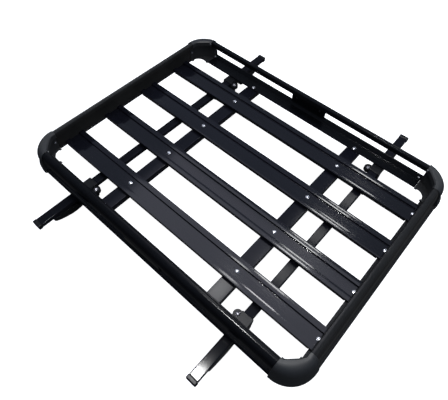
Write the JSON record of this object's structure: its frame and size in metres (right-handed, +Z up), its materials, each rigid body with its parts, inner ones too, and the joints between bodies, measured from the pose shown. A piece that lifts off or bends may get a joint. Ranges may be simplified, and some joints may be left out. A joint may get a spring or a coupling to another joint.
{
  "type": "roof cargo basket",
  "caption": "Open roof-top cargo basket with a slatted deck, double side rails, moulded corners, and roof bars whose clamp feet slide and grip a vehicle's roof rails.",
  "frame": {"origin": "on the ground plane under the clamp feet, below the middle of the basket", "axes": "+X along the slats, +Y along the roof bars across the vehicle, +Z up"},
  "size_m": [1.208, 1.21, 0.16],
  "materials": {
    "side_rail": "extruded aluminium under a semi-gloss black powder coat",
    "centre_plate": "extruded aluminium under a semi-gloss black powder coat",
    "end_rail": "extruded aluminium under a semi-gloss black powder coat",
    "cross_member": "extruded aluminium under a semi-gloss black powder coat",
    "roof_bar": "extruded aluminium under a semi-gloss black powder coat",
    "slat": "extruded aluminium under a semi-gloss black powder coat",
    "corner_cap": "fine-grained dark grey moulding",
    "bar_cap": "smooth black moulding",
    "bar_clamp": "smooth black moulding",
    "foot": "smooth black moulding",
    "jaw": "smooth black moulding",
    "foot_pad": "matte black rubber",
    "jaw_pin": "black oxide",
    "screw": "bright zinc plate",
    "bolt": "bright zinc plate"
  },
  "bodies": {
    "basket": {"upper_side_rail_left": "side_rail", "lower_side_rail_left": "side_rail", "centre_plate_left": "centre_plate", "upper_side_rail_right": "side_rail", "lower_side_rail_right": "side_rail", "centre_plate_right": "centre_plate", "end_rail_front": "end_rail", "cross_member_front": "cross_member", "roof_bar_front": "roof_bar", "end_rail_rear": "end_rail", "cross_member_rear": "cross_member", "roof_bar_rear": "roof_bar", "slat_1": "slat", "slat_2": "slat", "slat_3": "slat", "slat_4": "slat", "corner_cap_front_left": "corner_cap", "bar_cap_front_left": "bar_cap", "bar_clamp_front_left": "bar_clamp", "rail_bolt_front_left": "bolt", "corner_cap_front_right": "corner_cap", "bar_cap_front_right": "bar_cap", "bar_clamp_front_right": "bar_clamp", "rail_bolt_front_right": "bolt", "corner_cap_rear_left": "corner_cap", "bar_cap_rear_left": "bar_cap", "bar_clamp_rear_left": "bar_clamp", "rail_bolt_rear_left": "bolt", "corner_cap_rear_right": "corner_cap", "bar_cap_rear_right": "bar_cap", "bar_clamp_rear_right": "bar_clamp", "rail_bolt_rear_right": "bolt", "slat_bolt_front_1": "bolt", "slat_bolt_front_2": "bolt", "slat_bolt_front_3": "bolt", "slat_bolt_front_4": "bolt", "slat_bolt_rear_1": "bolt", "slat_bolt_rear_2": "bolt", "slat_bolt_rear_3": "bolt", "slat_bolt_rear_4": "bolt"},
    "foot_front_left": {"foot_body_front_left": "foot", "foot_pad_front_left": "foot_pad", "jaw_pin_front_left": "jaw_pin"},
    "jaw_front_left": {"clamp_jaw_front_left": "jaw"},
    "screw_front_left": {"clamp_screw_front_left": "screw"},
    "foot_front_right": {"foot_body_front_right": "foot", "foot_pad_front_right": "foot_pad", "jaw_pin_front_right": "jaw_pin"},
    "jaw_front_right": {"clamp_jaw_front_right": "jaw"},
    "screw_front_right": {"clamp_screw_front_right": "screw"},
    "foot_rear_left": {"foot_body_rear_left": "foot", "foot_pad_rear_left": "foot_pad", "jaw_pin_rear_left": "jaw_pin"},
    "jaw_rear_left": {"clamp_jaw_rear_left": "jaw"},
    "screw_rear_left": {"clamp_screw_rear_left": "screw"},
    "foot_rear_right": {"foot_body_rear_right": "foot", "foot_pad_rear_right": "foot_pad", "jaw_pin_rear_right": "jaw_pin"},
    "jaw_rear_right": {"clamp_jaw_rear_right": "jaw"},
    "screw_rear_right": {"clamp_screw_rear_right": "screw"}
  },
  "joints": [
    {"name": "foot_slide_front_left", "type": "slide", "parent": "basket", "child": "foot_front_left", "axis": [0, 1, 0], "range_m": [-0.025, 0.025]},
    {"name": "clamp_screw_turn_front_left", "type": "hinge", "parent": "foot_front_left", "child": "screw_front_left", "pos_m": [0.3352, 0.376, 0.052], "axis": [0, 0, 1], "range_deg": [-1440, 0]},
    {"name": "jaw_swing_front_left", "type": "hinge", "parent": "foot_front_left", "child": "jaw_front_left", "pos_m": [0.362, 0.472, 0.0305], "axis": [-1, 0, 0], "range_deg": [0, 16]},
    {"name": "foot_slide_front_right", "type": "slide", "parent": "basket", "child": "foot_front_right", "axis": [0, -1, 0], "range_m": [-0.025, 0.025]},
    {"name": "clamp_screw_turn_front_right", "type": "hinge", "parent": "foot_front_right", "child": "screw_front_right", "pos_m": [0.3352, -0.376, 0.052], "axis": [0, 0, 1], "range_deg": [-1440, 0]},
    {"name": "jaw_swing_front_right", "type": "hinge", "parent": "foot_front_right", "child": "jaw_front_right", "pos_m": [0.362, -0.472, 0.0305], "axis": [1, 0, 0], "range_deg": [0, 16]},
    {"name": "foot_slide_rear_left", "type": "slide", "parent": "basket", "child": "foot_rear_left", "axis": [0, 1, 0], "range_m": [-0.025, 0.025]},
    {"name": "clamp_screw_turn_rear_left", "type": "hinge", "parent": "foot_rear_left", "child": "screw_rear_left", "pos_m": [-0.3352, 0.376, 0.052], "axis": [0, 0, 1], "range_deg": [-1440, 0]},
    {"name": "jaw_swing_rear_left", "type": "hinge", "parent": "foot_rear_left", "child": "jaw_rear_left", "pos_m": [-0.362, 0.472, 0.0305], "axis": [-1, 0, 0], "range_deg": [0, 16]},
    {"name": "foot_slide_rear_right", "type": "slide", "parent": "basket", "child": "foot_rear_right", "axis": [0, -1, 0], "range_m": [-0.025, 0.025]},
    {"name": "clamp_screw_turn_rear_right", "type": "hinge", "parent": "foot_rear_right", "child": "screw_rear_right", "pos_m": [-0.3352, -0.376, 0.052], "axis": [0, 0, 1], "range_deg": [-1440, 0]},
    {"name": "jaw_swing_rear_right", "type": "hinge", "parent": "foot_rear_right", "child": "jaw_rear_right", "pos_m": [-0.362, -0.472, 0.0305], "axis": [1, 0, 0], "range_deg": [0, 16]}
  ],
  "couplings": [
    {"joint": "jaw_swing_front_left", "follows": "clamp_screw_turn_front_left", "ratio": -0.011111},
    {"joint": "jaw_swing_front_right", "follows": "clamp_screw_turn_front_right", "ratio": -0.011111},
    {"joint": "jaw_swing_rear_left", "follows": "clamp_screw_turn_rear_left", "ratio": -0.011111},
    {"joint": "jaw_swing_rear_right", "follows": "clamp_screw_turn_rear_right", "ratio": -0.011111}
  ]
}
